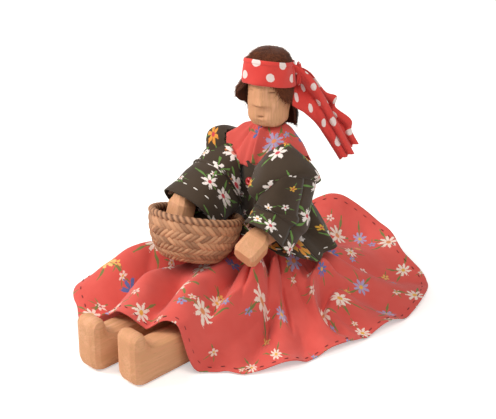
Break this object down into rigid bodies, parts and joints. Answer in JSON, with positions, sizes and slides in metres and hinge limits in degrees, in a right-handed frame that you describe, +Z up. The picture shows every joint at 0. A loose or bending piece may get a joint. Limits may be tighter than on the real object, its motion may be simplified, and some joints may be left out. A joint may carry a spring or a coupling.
{
  "type": "seated wooden doll",
  "caption": "Peg-jointed carved wooden doll that sits with its legs straight out, dressed in a printed cotton skirt, jacket and spotted headband, with a plaited basket on its lap.",
  "frame": {"origin": "on the floor under the middle of the seat", "axes": "+Z up, -Y the way the doll faces, +X to the doll's left"},
  "size_m": [0.1526, 0.2178, 0.1523],
  "materials": {
    "doll_wood": "bare sanded wood",
    "red_calico": "plain-weave cotton with a small flower print",
    "dark_calico": "plain-weave dark cotton with a small flower print",
    "spotted_red_cotton": "plain-weave red cotton with off-white dots",
    "dark_plush": "short dark brown pile",
    "plaited_straw": "plaited straw, unvarnished",
    "red_bead": "glossy red bead"
  },
  "bodies": {
    "torso": {"torso": "doll_wood", "shoulder_pin_left": "doll_wood", "shoulder_pin_right": "doll_wood", "hip_pin_left": "doll_wood", "hip_pin_right": "doll_wood", "dress_bodice": "red_calico", "neck_scarf": "red_calico", "jacket_body": "dark_calico", "jacket_button": "red_bead", "skirt": "red_calico", "skirt_waistband": "red_calico"},
    "head": {"head": "doll_wood", "neck_peg": "doll_wood", "wig": "dark_plush", "headband": "spotted_red_cotton", "headband_knot": "spotted_red_cotton", "headband_tail_front": "spotted_red_cotton", "headband_tail_back": "spotted_red_cotton"},
    "upper_arm_left": {"upper_arm_left": "doll_wood", "elbow_pin_left": "doll_wood", "sleeve_left": "dark_calico"},
    "forearm_left": {"forearm_left": "doll_wood"},
    "upper_arm_right": {"upper_arm_right": "doll_wood", "elbow_pin_right": "doll_wood", "sleeve_right": "dark_calico"},
    "forearm_right": {"forearm_right": "doll_wood"},
    "thigh_left": {"thigh_left": "doll_wood", "knee_pin_left": "doll_wood"},
    "lower_leg_left": {"lower_leg_left": "doll_wood"},
    "thigh_right": {"thigh_right": "doll_wood", "knee_pin_right": "doll_wood"},
    "lower_leg_right": {"lower_leg_right": "doll_wood"},
    "basket": {"basket": "plaited_straw"}
  },
  "joints": [
    {"name": "neck_turn", "type": "hinge", "parent": "torso", "child": "head", "pos_m": [0, 0, 0.106], "axis": [0, 0, 1], "range_deg": [-67, 23]},
    {"name": "shoulder_left", "type": "hinge", "parent": "torso", "child": "upper_arm_left", "pos_m": [0.0223, 0, 0.083], "axis": [-1, 0, 0], "range_deg": [0, 70]},
    {"name": "elbow_left", "type": "hinge", "parent": "upper_arm_left", "child": "forearm_left", "pos_m": [0.0223, -0.0068, 0.06208], "axis": [-1, 0, 0], "range_deg": [-12, 40], "deforming": ["sleeve_left"]},
    {"name": "shoulder_right", "type": "hinge", "parent": "torso", "child": "upper_arm_right", "pos_m": [-0.0223, 0, 0.083], "axis": [-1, 0, 0], "range_deg": [0, 50]},
    {"name": "elbow_right", "type": "hinge", "parent": "upper_arm_right", "child": "forearm_right", "pos_m": [-0.0223, -0.01905, 0.072], "axis": [-1, 0, 0], "range_deg": [0, 45], "deforming": ["sleeve_right"]},
    {"name": "hip_left", "type": "hinge", "parent": "torso", "child": "thigh_left", "pos_m": [0.0133, 0, 0.0111], "axis": [1, 0, 0], "range_deg": [0, 90]},
    {"name": "knee_left", "type": "hinge", "parent": "thigh_left", "child": "lower_leg_left", "pos_m": [0.0133, -0.057, 0.0108], "axis": [1, 0, 0], "range_deg": [0, 90]},
    {"name": "hip_right", "type": "hinge", "parent": "torso", "child": "thigh_right", "pos_m": [-0.0133, 0, 0.0111], "axis": [1, 0, 0], "range_deg": [0, 90]},
    {"name": "knee_right", "type": "hinge", "parent": "thigh_right", "child": "lower_leg_right", "pos_m": [-0.0133, -0.057, 0.0108], "axis": [1, 0, 0], "range_deg": [0, 90]},
    {"name": "basket_slide", "type": "slide", "parent": "torso", "child": "basket", "axis": [0, -1, 0], "range_m": [0, 0.005]}
  ]
}
